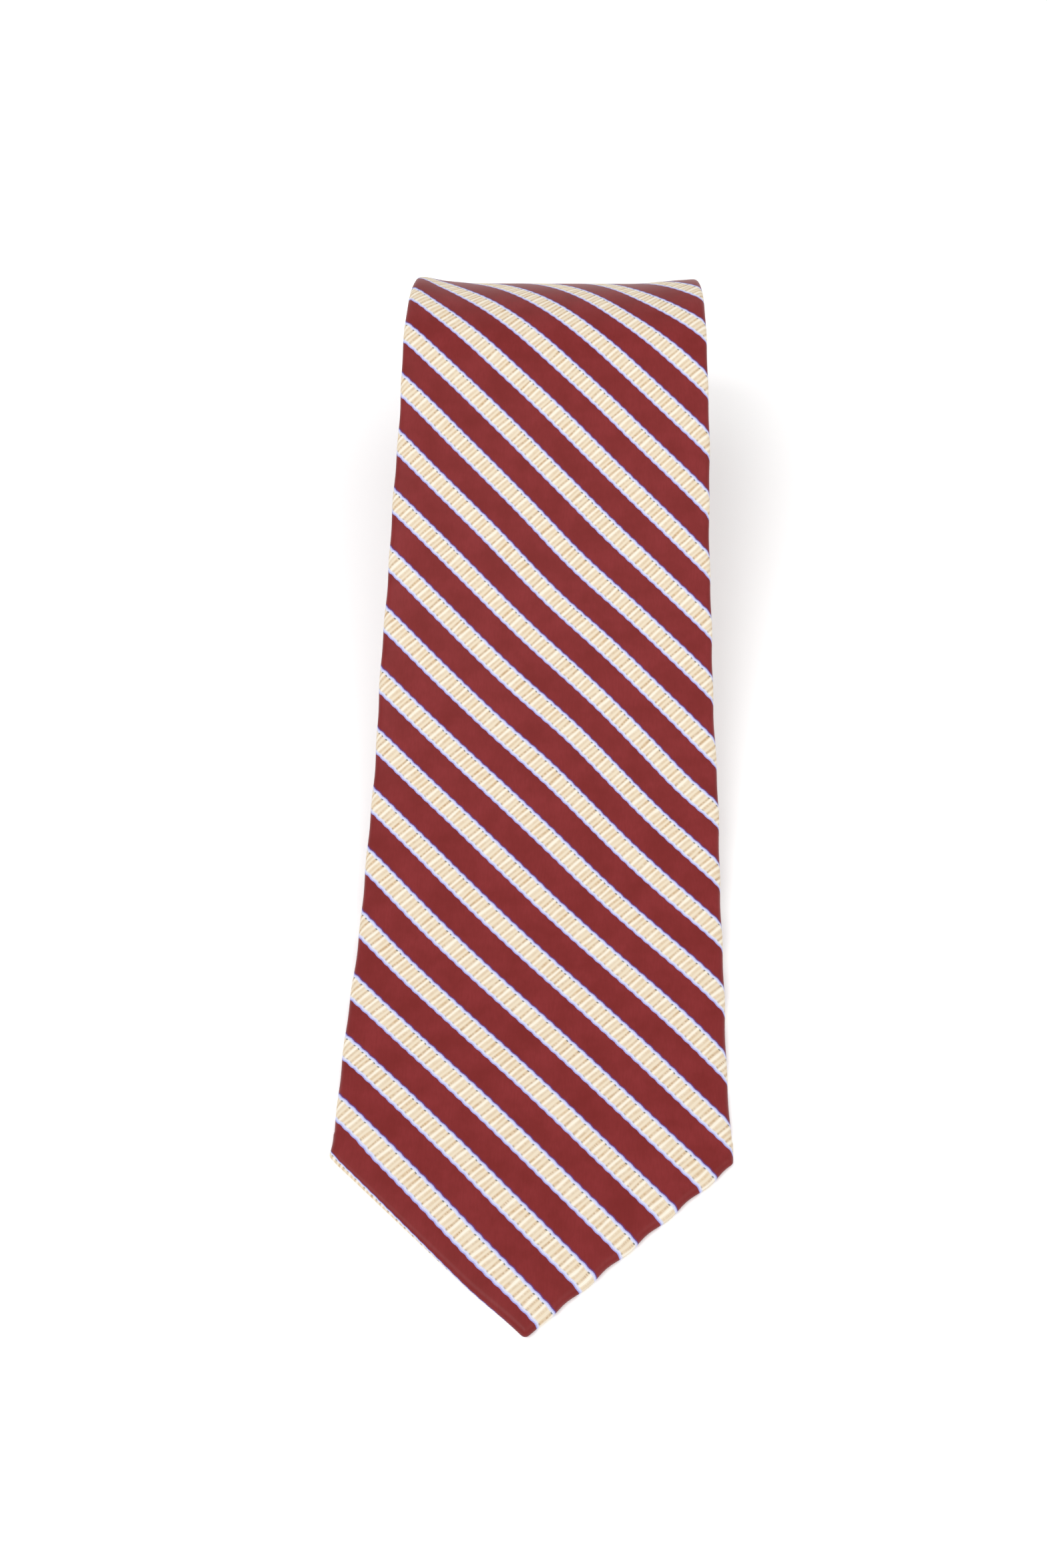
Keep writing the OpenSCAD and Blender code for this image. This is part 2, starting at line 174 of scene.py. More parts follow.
def ease(value, low, high):
    """0 at low and below, 1 at high and above, and smooth between them."""
    part = np.clip((value - low) / (high - low), 0, 1)
    return part * part * (3 - 2 * part)


# The stripes: their repeat along x and along s, where the count starts, and how much
# of a repeat is cream.
STRIPE_X = 17.6
STRIPE_S = 17.83
STRIPE_START = 16.747
CREAM_SHARE = 0.446

# How the made-up cloth settles.
HEM_SCALLOP = 0.32
SIDE_SCALLOP = 0.1
HEM_FULLNESS = 0.75
TURN_WANDER = 0.9
CROWN = 0.14
EDGE_THIN = 0.7
EDGE_REACH = 7
CREST_TURN = 0.6
CREST_REACH = 0.75
CREST_DIP = -1.5
CREST_LEFT = 0.9
CREST_RIGHT = 0.5

# Where the cloth's bias lets the stripes run off true: centre and reach along x and s,
# and how far the stripes shift towards the roll.
DRIFTS = (
    (-48, 42, 92, 34, -1.75),
    (-44, 26, 165, 30, -0.8),
    (40, 24, 92, 22, 0.9),
    (7, 15, 160, 26, 0.95),
    (40, 12, 150, 13, -0.9),
    (6, 16, 212, 17, -0.95),
    (-12, 40, 262, 17, 0.5),
    (34, 22, 303, 18, -2.0),
    (8, 50, 22, 30, -0.4),
)


def drifted(x, s):
    """Cloth places after the bias drift; the stripes are woven on these."""
    shift = 0.0
    for at_x, reach_x, at_s, reach_s, amount in DRIFTS:
        far = ((x - at_x) / reach_x) ** 2 + ((s - at_s) / reach_s) ** 2
        shift = shift + amount * np.exp(-far)
    even = math.hypot(1 / STRIPE_X, 1 / STRIPE_S)
    return x - shift / STRIPE_X / even, s - shift / STRIPE_S / even


def cream_wave(x, s):
    """1 in the middle of a cream stripe and -1 in the middle of a burgundy one."""
    x, s = drifted(x, s)
    return np.cos(TAU * (STRIPE_START - x / STRIPE_X - s / STRIPE_S - CREAM_SHARE / 2))


def from_edge(x, s):
    """Distance in from the nearest side or hem of the tie's outline."""
    side = half_width(s) - np.abs(x)
    hem = s * math.sin(POINT_ANGLE) - np.abs(x) * math.cos(POINT_ANGLE)
    return np.maximum(np.minimum(side, hem), 0)


def settle(x, s, t):
    """The small unevenness of hand-made cloth, added to places on the tie."""
    share = np.clip(np.abs(x) / half_width(s), 0, 1.1)
    side = np.where(x > 0, 1.0, -1.0)
    free = 1 - 0.6 * ease(s, 240, 320)
    depth = from_edge(x, s)
    # The sides wander a little, and the raised cream stripes push the folded edge out.
    edge = 0.26 * np.sin(s / 21 + 1.3 * side) + 0.13 * np.sin(s / 8.3 + 2.2 * side + 0.7)
    edge = edge * share**4 * free * ease(s, 20, 50)
    bulge = cream_wave(x, s) * (1 - ease(depth, 0.5, 5))
    on_side = ease(s, POINT_LEN - 2, POINT_LEN + 4)
    edge = edge + SIDE_SCALLOP * bulge * on_side * free
    hem = (1 - on_side) * (HEM_SCALLOP * bulge * ease(x, 3, 9)
                           + HEM_FULLNESS * ease(-x, 2, 14) * (1 - ease(depth, 0, 12)))
    x_new = x + side * (edge + hem * math.cos(POINT_ANGLE))
    s_new = s - hem * math.sin(POINT_ANGLE)
    # Inner turns of the roll don't line up quite evenly.
    x_new = x_new + TURN_WANDER * np.sin((s - SLOPE_PIECE_END) / 150) * ease(s, 360, 600)
    lump = (0.11 * np.sin(s / 24 + x / 33 + 0.6) + 0.07 * np.sin(s / 12.1 - x / 18 + 2.1)
            + 0.04 * np.sin(s / 6.3 + x / 10 + 4.0) + 0.03 * cream_wave(x, s))
    crown = CROWN * (1 - np.minimum(share, 1)**2)
    lift = np.clip(t / TIE_T + 0.5, 0, 1)
    inward = np.clip(depth / EDGE_REACH, 0, 1)
    thin = EDGE_THIN + (1 - EDGE_THIN) * np.sqrt(inward * (2 - inward))
    t_new = (t + HALF_T) * thin - HALF_T + (lump * free + crown) * lift
    return x_new, s_new, t_new + crest_lift(x, s)


def crest_lift(x, s):
    """The roll's top dips across its middle, and its outer turn stands up at the sides."""
    turn = np.interp(s, PATH_S, PATH_TURN)
    top = np.exp(-((np.mod(turn + math.pi, TAU) - math.pi - CREST_TURN) / CREST_REACH) ** 2)
    top = top * ease(s, 225, 290)
    outer = 1 - ease(s, 330, 380)
    dip = CREST_DIP * (1 - ease(np.abs(x + 1), 22, 43))
    left = CREST_LEFT * ease(-x, 34, 42)
    right = CREST_RIGHT * ease(x, 37, 43)
    return (dip + (left + right) * outer) * top


# ---- Grids of cloth ----

class Cloth:
    """Points, faces and cloth places gathered for one mesh."""

    def __init__(self):
        self.spots, self.cloth, self.faces = [], [], []
        self.count = 0

    def grid(self, x, s, t, c, r, flip=False):
        """A sheet of quads over rows and columns; c and r are its places on flat cloth."""
        x, s, t, c, r = np.broadcast_arrays(x, s, t, c, r)
        rows, cols = x.shape
        index = self.count + np.arange(rows * cols).reshape(rows, cols)
        quads = np.stack(
            [index[:-1, :-1], index[:-1, 1:], index[1:, 1:], index[1:, :-1]], axis=-1
        ).reshape(-1, 4)
        self.faces.append(quads[:, ::-1] if flip else quads)
        self.spots.append(np.stack([x, s, t], axis=-1).reshape(-1, 3))
        self.cloth.append(np.stack([c, r, 0 * c], axis=-1).reshape(-1, 3))
        self.count += rows * cols

    def welded(self):
        spots, cloth = np.concatenate(self.spots), np.concatenate(self.cloth)
        keys = np.round(spots / 0.004).astype(np.int64)
        _, first, same = np.unique(keys, axis=0, return_index=True, return_inverse=True)
        same = same.reshape(-1)
        faces = []
        for quad in same[np.concatenate(self.faces)].tolist():
            ring = [v for k, v in enumerate(quad) if v != quad[k - 1]]
            if len(ring) > 2 and len(set(ring)) == len(ring):
                faces.append(ring)
        return spots[first], cloth[first], faces


def flat_area(cloth, faces):
    """Area of the cloth before it was folded, in square metres."""
    total = 0.0
    for sides in (3, 4):
        chosen = np.array([f for f in faces if len(f) == sides])
        if len(chosen):
            p = cloth[chosen][:, :, :2]
            q = np.roll(p, -1, axis=1)
            total += np.abs((p[..., 0] * q[..., 1] - p[..., 1] * q[..., 0]).sum(1)).sum() / 2
    return total * MM * MM


def mesh_object(name, points, faces, cloth, material, sharp=50):
    mesh = bpy.data.meshes.new(name)
    mesh.from_pydata((np.asarray(points) * MM).tolist(), [], faces)
    cloth = np.array(cloth, float)
    if material is SILK:
        cloth[:, 0], cloth[:, 1] = drifted(cloth[:, 0], cloth[:, 1])
    places = mesh.attributes.new("cloth", "FLOAT_VECTOR", "POINT")
    places.data.foreach_set("vector", cloth.ravel())
    obj = bpy.data.objects.new(name, mesh)
    bpy.context.scene.collection.objects.link(obj)
    mesh.materials.append(material)
    finish_mesh(mesh, sharp)
    return obj


def finish_mesh(mesh, sharp):
    mesh.polygons.foreach_set("use_smooth", [True] * len(mesh.polygons))
    mesh.set_sharp_from_angle(angle=math.radians(sharp))
    mesh.update()


def thicken(obj, thickness, sharp=50):
    """Gives a sheet its thickness, inward from the face that was modelled."""
    solid = obj.modifiers.new("thickness", "SOLIDIFY")
    solid.thickness = thickness * MM
    solid.offset = -1
    solid.use_rim = True
    graph = bpy.context.evaluated_depsgraph_get()
    mesh = bpy.data.meshes.new_from_object(obj.evaluated_get(graph))
    obj.modifiers.clear()
    old = obj.data
    obj.data = mesh
    bpy.data.meshes.remove(old)
    mesh.name = obj.name
    finish_mesh(mesh, sharp)


def sheet_piece(name, cloth_grid, material, thickness, settled=True, layers=1):
    spots, cloth, faces = cloth_grid.welded()
    x, s, t = spots.T
    if settled:
        x, s, t = settle(x, s, t)
    obj = mesh_object(name, place(x, s, t), faces, cloth, material)
    if thickness:
        thicken(obj, thickness)
    low, high = cloth.min(0), cloth.max(0)
    width, length = (high[0] - low[0]) * MM, (high[1] - low[1]) * MM
    area = flat_area(cloth, faces) / layers
    return obj, (width, length), min(max(area, 0.31 * width * length), width * length)


def stations(start, end, step):
    """Rows from start to end, closer together at both ends so that pieces meet smoothly."""
    inner = np.linspace(start + 0.9, end - 0.9, max(2, int((end - start) / step)))
    return np.r_[start, start + 0.3, start + 0.6, inner, end - 0.6, end - 0.3, end]


EDGE_STEPS = 8


def silk_tube(grid, s, front_cols, back_cols, slit, shift=0.0):
    """The folded silk from station to station: front, both edges and the back flaps."""
    s = s[:, None]
    inner = half_width(s) - HALF_T
    gap = slit(s)
    u = np.linspace(-1, 1, front_cols + 1)[None]
    turn = np.linspace(0, math.pi, EDGE_STEPS + 1)[None]
    back = np.linspace(0, 1, back_cols + 1)[None]
    grid.grid(u * inner, s, HALF_T, u * inner, s + shift)
    for side in (1, -1):
        flip = side < 0
        x, c = inner + HALF_T * np.sin(turn), inner + HALF_T * turn
        grid.grid(side * x, s, HALF_T * np.cos(turn), side * c, s + shift, flip)
        x = inner + (gap - inner) * back
        c = inner + HALF_T * math.pi + (inner - x)
        grid.grid(side * x, s, -HALF_T, side * c, s + shift, flip)
        lip = np.array([[0, 0.3, 0.6]])
        c_lip = c[:, -1:] + lip
        grid.grid(side * gap, s, -HALF_T + lip, side * c_lip, s + shift, flip)


def chevron(inset, end, front_cols, step):
    """Rows that follow the point's hem at first and run straight across further up."""
    tip = inset / math.sin(POINT_ANGLE)
    shoulder = BLADE_HALF_W - inset
    reach = shoulder / math.tan(POINT_ANGLE)
    v = stations(tip, end, step)[:, None] - tip
    u = np.linspace(-1, 1, front_cols + 1)[None]
    s = tip + v + reach * np.abs(u) * np.clip(1 - v / 130, 0, 1) ** 2
    width = np.where(s < POINT_LEN + 6, shoulder, np.minimum(half_width(s) - inset, shoulder))
    return u * width, s


def hem_line(x, s, fan):
    """The right half of a point's outline, from its tip: places and outward directions."""
    hem_dir = (math.cos(POINT_ANGLE), -math.sin(POINT_ANGLE))
    half = x.shape[1] // 2
    spots, ways, kinds = [], [], []
    down, hem, out = -math.pi / 2, math.atan2(hem_dir[1], hem_dir[0]), 0.0
    for angle in np.linspace(down, hem, fan + 1)[:-1]:
        spots.append((0.0, s[0, half])), ways.append(angle), kinds.append(0.0)
    for k in range(half, x.shape[1]):
        spots.append((x[0, k], s[0, k])), ways.append(hem)
        kinds.append((k - half) / (x.shape[1] - 1 - half))
    for angle in np.linspace(hem, out, fan + 1)[1:-1]:
        spots.append((x[0, -1], s[0, -1])), ways.append(angle), kinds.append(1.0)
    for k in range(x.shape[0]):
        spots.append((x[k, -1], s[k, -1])), ways.append(out), kinds.append(2.0)
    return np.array(spots), np.array(ways), np.array(kinds)


def silk_point(grid, end, front_cols, back_cols, step):
    """The pointed end: front, hem folded round a rounded edge, and flaps round a window."""
    x, s = chevron(HALF_T, end, front_cols, step)
    grid.grid(x, s, HALF_T, x, s)
    spots, ways, kinds = hem_line(x, s, 5)
    px, ps = spots[:, :1], spots[:, 1:]
    nx, ns = np.cos(ways)[:, None], np.sin(ways)[:, None]
    turn = np.linspace(0, math.pi, EDGE_STEPS + 1)[None]
    back = np.linspace(0, 1, back_cols + 1)[None]
    window_tip = HEM_W / math.sin(POINT_ANGLE)
    side_x = BLADE_HALF_W - HEM_W
    side_s = window_tip + side_x / math.tan(POINT_ANGLE)
    on_hem = np.clip(kinds, 0, 1)[:, None]
    first_s = ps[kinds == 2.0][0, 0]
    up = np.clip((ps - first_s) / (WINDOW_TOP - first_s), 0, 1)
    on_side = (kinds == 2.0)[:, None]
    qx = np.where(on_side, side_x + (SLIT - side_x) * up, side_x * on_hem)
    qs = np.where(on_side, np.maximum(ps, side_s + (WINDOW_TOP - side_s) * up),
                  window_tip + (side_s - window_tip) * on_hem)
    qs = np.where(on_side & (ps >= WINDOW_TOP), ps, qs)
    for side in (1, -1):
        flip = side < 0
        grid.grid(side * (px + nx * HALF_T * np.sin(turn)), ps + ns * HALF_T * np.sin(turn),
                  HALF_T * np.cos(turn), side * (px + nx * HALF_T * turn),
                  ps + ns * HALF_T * turn, flip)
        bx, bs = px + (qx - px) * back, ps + (qs - ps) * back
        off = (bx - px) * nx + (bs - ps) * ns
        cx = bx - 2 * off * nx + nx * HALF_T * math.pi
        cs = bs - 2 * off * ns + ns * HALF_T * math.pi
        grid.grid(side * bx, bs, -HALF_T, side * cx, cs, flip)
        lip = np.array([[0, 0.3, 0.6]]) * (0.5 + 0.5 * ease(qs, 140, WINDOW_TOP))
        grid.grid(side * qx, qs, -HALF_T + lip, side * (cx[:, -1:] + lip), cs[:, -1:], flip)


def slab_point(grid, inset, low, high, end, cols, step):
    """A closed pad or lining that fills the point, inset from its outline."""
    edge = (high - low) / 2
    mid = (high + low) / 2
    x, s = chevron(inset + edge, end, cols, step)
    grid.grid(x, s, high, x, s)
    grid.grid(x, s, low, x, s, True)
    spots, ways, _ = hem_line(x, s, 4)
    px, ps = spots[:, :1], spots[:, 1:]
    nx, ns = np.cos(ways)[:, None], np.sin(ways)[:, None]
    turn = np.linspace(0, math.pi, 4)[None]
    for side in (1, -1):
        ex, es = px + nx * edge * np.sin(turn), ps + ns * edge * np.sin(turn)
        grid.grid(side * ex, es, mid + edge * np.cos(turn), side * ex, es, side < 0)
    rim(grid, x[-1], s[-1], low, high, False)


def rim(grid, x, s, low, high, first):
    """Closes the end of a pad with one row of quads."""
    rows = np.array([[low], [high]]) if first else np.array([[high], [low]])
    grid.grid(x[None], s[None], rows, x[None], s[None])


def slab_band(grid, inset, low, high, start, end, cols, step):
    """A closed flat band between two heights that follows the tie."""
    edge = (high - low) / 2
    mid = (high + low) / 2
    s = stations(start, end, step)[:, None]
    inner = half_width(s) - inset - edge
    u = np.linspace(-1, 1, cols + 1)[None]
    turn = np.linspace(0, math.pi, 4)[None]
    grid.grid(u * inner, s, high, u * inner, s)
    grid.grid(u * inner, s, low, u * inner, s, True)
    for side in (1, -1):
        x = side * (inner + edge * np.sin(turn))
        grid.grid(x, s, mid + edge * np.cos(turn), x, s, side < 0)
    x = u * inner
    rim(grid, x[0], np.full_like(x[0], start), low, high, True)
    rim(grid, x[-1], np.full_like(x[-1], end), low, high, False)


# ---- Thread ----

class Thread:
    """Lengths of thread gathered in one mesh."""

    def __init__(self, diameter):
        self.radius = diameter / 2
        self.points, self.cloth, self.faces = [], [], []

    def run(self, path, sides=6):
        """A round thread along path, an array of points in millimetres."""
        path = np.asarray(path, float)
        way = np.gradient(path, axis=0)
        way /= np.linalg.norm(way, axis=1)[:, None]
        across = np.array([1.0, 0.0, 0.0]) if abs(way[0][0]) < 0.9 else np.array([0, 0, 1.0])
        base = sum(len(p) for p in self.points)
        along = np.r_[0, np.cumsum(np.linalg.norm(np.diff(path, axis=0), axis=1))]
        turn = np.linspace(0, TAU, sides, endpoint=False)
        for k, point in enumerate(path):
            across = across - way[k] * (across @ way[k])
            across /= np.linalg.norm(across)
            up = np.cross(way[k], across)
            ring = point + self.radius * (
                np.cos(turn)[:, None] * across + np.sin(turn)[:, None] * up)
            self.points.append(ring)
            self.cloth.append(np.stack([turn, np.full(sides, along[k]), 0 * turn], axis=1))
            if k:
                low, high = base + (k - 1) * sides, base + k * sides
                self.faces += [
                    [low + j, low + (j + 1) % sides, high + (j + 1) % sides, high + j]
                    for j in range(sides)]
        self.faces.append([base + j for j in range(sides - 1, -1, -1)])
        self.faces.append([base + (len(path) - 1) * sides + j for j in range(sides)])

    def piece(self, name, material):
        return mesh_object(name, np.concatenate(self.points), self.faces,
                           np.concatenate(self.cloth), material, 80)


def zigzag(first, last, swing, count, rise=0.0):
    """Places of a zigzag from first to last, swinging along s (or x) by swing."""
    first, last, swing = (np.array(v, float) for v in (first, last, swing))
    steps = np.linspace(0, 1, count * 4 + 1)
    wave = np.sin(steps * count * math.pi + math.pi / 2)
    spots = first + (last - first) * steps[:, None] + swing * wave[:, None]
    spots[:, 2] += rise * np.cos(steps * count * TAU)
    return spots


# ---- Materials ----

def srgb(*levels):
    """Linear colour of an sRGB colour given as 0 to 255."""
    parts = [v / 255 for v in levels]
    return tuple(v / 12.92 if v < 0.04045 else ((v + 0.055) / 1.055) ** 2.4 for v in parts) + (1,)


class Wire:
    """A socket's value, whose arithmetic adds Math nodes."""

    def __init__(self, recipe, socket):
        self.recipe, self.socket = recipe, socket

    def math(self, operation, *others):
        sockets = {k: v for k, v in enumerate((self,) + others)}
        return self.recipe.node("ShaderNodeMath", {"operation": operation}, sockets)

    def flipped(self, operation, other):
        return self.recipe.node("ShaderNodeMath", {"operation": operation}, {0: other, 1: self})

    def __add__(self, other):
        return self.math("ADD", other)

    def __sub__(self, other):
        return self.math("SUBTRACT", other)

    def __mul__(self, other):
        return self.math("MULTIPLY", other)

    def __truediv__(self, other):
        return self.math("DIVIDE", other)

    def __gt__(self, other):
        return self.math("GREATER_THAN", other)

    def __lt__(self, other):
        return self.math("LESS_THAN", other)

    def __rsub__(self, other):
        return self.flipped("SUBTRACT", other)

    def __rtruediv__(self, other):
        return self.flipped("DIVIDE", other)

    __radd__ = __add__
    __rmul__ = __mul__

    def fract(self):
        return self.math("FRACT")

    def size(self):
        return self.math("ABSOLUTE")

    def wave(self, period):
        """A wave from 0 to 1, 1 where the value is a whole number of periods."""
        return (self * (TAU / period)).math("COSINE") * 0.5 + 0.5

    def step(self, low, high):
        """0 at low, 1 at high, smooth between them."""
        sockets = {0: self, 1: low, 2: high}
        return self.recipe.node(
            "ShaderNodeMapRange", {"interpolation_type": "SMOOTHSTEP"}, sockets)


class Recipe:
    """One material being made."""

    def __init__(self, name):
        self.material = bpy.data.materials.new(name)
        self.material.use_nodes = True
        self.tree = self.material.node_tree
        self.tree.nodes.clear()

    def node(self, kind, settings=None, sockets=None, out=0):
        made = self.tree.nodes.new(kind)
        for key, value in (settings or {}).items():
            setattr(made, key, value)
        for key, value in (sockets or {}).items():
            if isinstance(value, Wire):
                self.tree.links.new(value.socket, made.inputs[key])
            else:
                made.inputs[key].default_value = value
        return Wire(self, made.outputs[out])

    def cloth(self):
        """Places on the flat cloth, in millimetres: across, along, and as a vector."""
        spot = self.node("ShaderNodeAttribute", {"attribute_name": "cloth"}, out="Vector")
        parts = self.node("ShaderNodeSeparateXYZ", None, {0: spot})
        along = Wire(self, parts.socket.node.outputs[1])
        return parts, along, spot

    def combine(self, x, y, z=0.0):
        return self.node("ShaderNodeCombineXYZ", None, {0: x, 1: y, 2: z})

    def noise(self, vector, scale, detail=2.0, rough=0.5):
        return self.node("ShaderNodeTexNoise", None, {
            "Vector": vector, "Scale": scale, "Detail": detail, "Roughness": rough})

    def mix(self, factor, first, second):
        return self.node("ShaderNodeMix", {"data_type": "RGBA"},
                         {0: factor, 6: first, 7: second}, out=2)

    def finish(self, colour, roughness, height=None, **fixed):
        sockets = {"Base Color": colour, "Roughness": roughness}
        sockets.update({k.replace("_", " "): v for k, v in fixed.items()})
        if height is not None:
            sockets["Normal"] = self.node("ShaderNodeBump", None, {
                "Height": height * MM, "Distance": 1.0, "Strength": 1.0}, out="Normal")
        shader = self.node("ShaderNodeBsdfPrincipled", None, sockets)
        self.node_output(shader)
        return self.material

    def node_output(self, shader):
        made = self.tree.nodes.new("ShaderNodeOutputMaterial")
        self.tree.links.new(shader.socket, made.inputs[0])


STRIPE_PERIOD = 1 / math.hypot(1 / STRIPE_X, 1 / STRIPE_S)
CREAM_HALF = CREAM_SHARE * STRIPE_PERIOD / 2
RIB = 1.41
WARP = 0.29
BORDER = 0.86
STRIPE_WAVER = 0.03
HEM_PULL = 0.2
COUNT_LEAD = 0.27


def striped_silk():
    """Burgundy satin with raised, ribbed cream stripes edged in lavender."""
    r = Recipe("striped_silk")
    c, s, spot = r.cloth()
    wander = r.noise(spot, 0.03, 1.0) - 0.5
    hem = s * math.sin(POINT_ANGLE) + c * math.cos(POINT_ANGLE)
    phase = STRIPE_START - c / STRIPE_X - s / STRIPE_S + wander * STRIPE_WAVER
    phase = phase + (1 - hem.step(-0.3, 2.6)) * HEM_PULL
    across = ((phase + COUNT_LEAD).fract() - COUNT_LEAD) * STRIPE_PERIOD
    along = (c / STRIPE_S - s / STRIPE_X) * STRIPE_PERIOD
    number = (phase + COUNT_LEAD).math("FLOOR")
    from_middle = across - CREAM_HALF
    upper = from_middle < 0.0
    # Ribs run across the stripe, a little unevenly, shifted from stripe to stripe.
    shaken = r.noise(r.combine(along * 0.3, across * 0.1, number), 1.0, 1.0) - 0.5
    bent = along + shaken * 0.9 + number * 1.22 * RIB
    place_in_rib = ((bent / RIB).fract() - 0.5).size()
    row = 1 - place_in_rib.step(0.08, 0.24)
    bright = place_in_rib.step(0.2, 0.4)
    rib = bent.wave(RIB)
    inside = CREAM_HALF - from_middle.size() + (bent.wave(2 * RIB) - 0.5) * 0.16
    stripe = inside.step(-0.07, 0.07)
    border = 1 - inside.step(BORDER - 0.12, BORDER + 0.12)
    # Tan dashes lie in rows between the ribs, strong in one row and weak in the next.
    cell = r.combine((bent / RIB).math("FLOOR"), (across / WARP).math("FLOOR"))
    chance = r.node("ShaderNodeTexWhiteNoise", {"noise_dimensions": "2D"}, {"Vector": cell})
    rib_cell = r.combine((bent / RIB).math("FLOOR"), number)
    strength = r.node("ShaderNodeTexWhiteNoise", {"noise_dimensions": "2D"},
                      {"Vector": rib_cell})
    every_other = (bent / (2 * RIB)).fract() > 0.5
    strength = strength * 0.5 + every_other * 0.5
    warp_line = (across / WARP).wave(1.0)
    patch = r.noise(r.combine(bent * 0.35, across * 0.25, number), 1.0, 2.0).step(0.35, 0.7)
    tan = row * (1 - warp_line * 0.7) * (chance * 0.7 + 0.3) * (strength * 0.75 + 0.2)
    beige = (1 - bright) * (patch * 0.8 + 0.15) * (strength * 0.6 + 0.3)
    thread = (bent / 0.33).wave(1.0)
    broad = bent.wave(2 * RIB) * (1 - patch * 0.4)
    cream = r.mix(bright * 0.35 + broad * 0.65, srgb(217, 200, 172), srgb(238, 232, 217))
    cream = r.mix(thread * (1 - patch * 0.5) * 0.2, cream, srgb(206, 188, 158))
    cream = r.mix(beige * 0.7, cream, srgb(208, 178, 138))
    cream = r.mix(tan, cream, srgb(158, 118, 76))
    lavender = r.mix(inside.step(0.1, 0.55), srgb(152, 151, 214), srgb(208, 211, 230))
    lavender = r.mix((bent / 0.42).wave(1.0) * 0.3, lavender, srgb(170, 172, 216))
    cream = r.mix(border, cream, lavender)
    tick = inside.step(BORDER - 0.2, BORDER - 0.05)
    tick = tick * (1 - inside.step(BORDER + 0.1, BORDER + 0.3))
    tick = tick * (1 - place_in_rib.step(0.1, 0.25)) * (strength > 0.4)
    cream = r.mix(tick * (upper * 0.5 + 0.3), cream, srgb(82, 88, 86))
    mottle = r.noise(spot, 0.11, 4.0, 0.6)
    streak = r.noise(r.combine(c * 2.4, s * 0.35), 1.0, 3.0)
    red = r.mix(mottle.step(0.25, 0.75), srgb(113, 28, 27), srgb(127, 38, 40))
    red = r.mix(streak.step(0.35, 0.75) * 0.3, red, srgb(106, 24, 23))
    shade = (1 - (inside + 0.06).size().step(0.05, 0.26)) * upper
    colour = r.mix(stripe, red, cream)
    colour = r.mix(shade * 0.8, colour, srgb(96, 50, 108))
    twill = (c + s).wave(0.42)
    height = (stripe * (0.07 + rib * 0.05 - tan * 0.02 - warp_line * 0.008)
              + (1 - stripe) * twill * 0.003 + streak * 0.006 + mottle * 0.01)
    return r.finish(colour, 0.44 + stripe * 0.2, height, Specular_IOR_Level=0.2,
                    Sheen_Weight=0.03, Sheen_Roughness=0.4)


def brushed_wool():
    """Undyed wool canvas with a brushed face."""
    r = Recipe("brushed_wool")
    c, s, spot = r.cloth()
    fibre = r.noise(r.combine(c * 0.4, s * 2.2), 1.4, 4.0, 0.7)
    fuzz = r.noise(spot, 1.9, 4.0, 0.65)
    weave = c.wave(1.1) * s.wave(1.1)
    colour = r.mix(fibre, srgb(206, 196, 170), srgb(233, 226, 206))
    colour = r.mix(weave * 0.3, colour, srgb(190, 178, 150))
    return r.finish(colour, 0.92, fuzz * 0.16 + weave * 0.05, Sheen_Weight=0.3)


def lining_satin():
    """Wine satin with fine warp lines."""
    r = Recipe("lining_satin")
    c, s, _ = r.cloth()
    warp = r.noise(r.combine(c * 4.0, s * 0.3), 1.2, 3.0)
    weft = s.wave(0.36)
    colour = r.mix(warp, srgb(78, 18, 28), srgb(112, 32, 44))
    colour = r.mix(weft * 0.2, colour, srgb(64, 14, 24))
    return r.finish(colour, 0.34 + warp * 0.14, warp * 0.012 + weft * 0.006,
                    Sheen_Weight=0.1)


def sewing_thread():
    """Twisted silk thread."""
    r = Recipe("sewing_thread")
    turn, along, _ = r.cloth()
    ply = (turn * 2.0 + along * 9.0).math("SINE") * 0.5 + 0.5
    hair = r.noise(r.combine(turn, along * 3.0), 2.0, 3.0)
    colour = r.mix(ply, srgb(104, 30, 40), srgb(158, 66, 76))
    return r.finish(colour, 0.5 + hair * 0.2, ply * 0.04, Sheen_Weight=0.2)


def woven_ribbon():
    """Close-woven ecru ribbon, blank."""
    r = Recipe("woven_ribbon")
    c, s, spot = r.cloth()
    rib = s.wave(0.42)
    warp = c.wave(0.6)
    tone = r.noise(spot, 0.35, 3.0)
    colour = r.mix(tone, srgb(224, 217, 200), srgb(242, 238, 228))
    colour = r.mix(rib * warp * 0.35, colour, srgb(198, 190, 172))
    return r.finish(colour, 0.62, rib * 0.03 + warp * 0.012, Sheen_Weight=0.15)


def paper_floor():
    """White paper with a very faint tone."""
    r = Recipe("paper_floor")
    spot = r.node("ShaderNodeTexCoord", out="Object")
    tone = r.noise(spot, 9.0, 3.0)
    colour = r.mix(tone, (0.93, 0.93, 0.93, 1), (0.95, 0.95, 0.95, 1))
    return r.finish(colour, 0.9, None, Specular_IOR_Level=0.1,
                    Emission_Color=(1, 1, 1, 1), Emission_Strength=0.15)


# ---- Camera, floor and light ----

LENS = 42.91
ELEVATION, YAW, ROLL = (math.radians(v) for v in (50.97, -3.55, -1.89))
TARGET = (-6.1, 158.9)
DISTANCE = 514.67


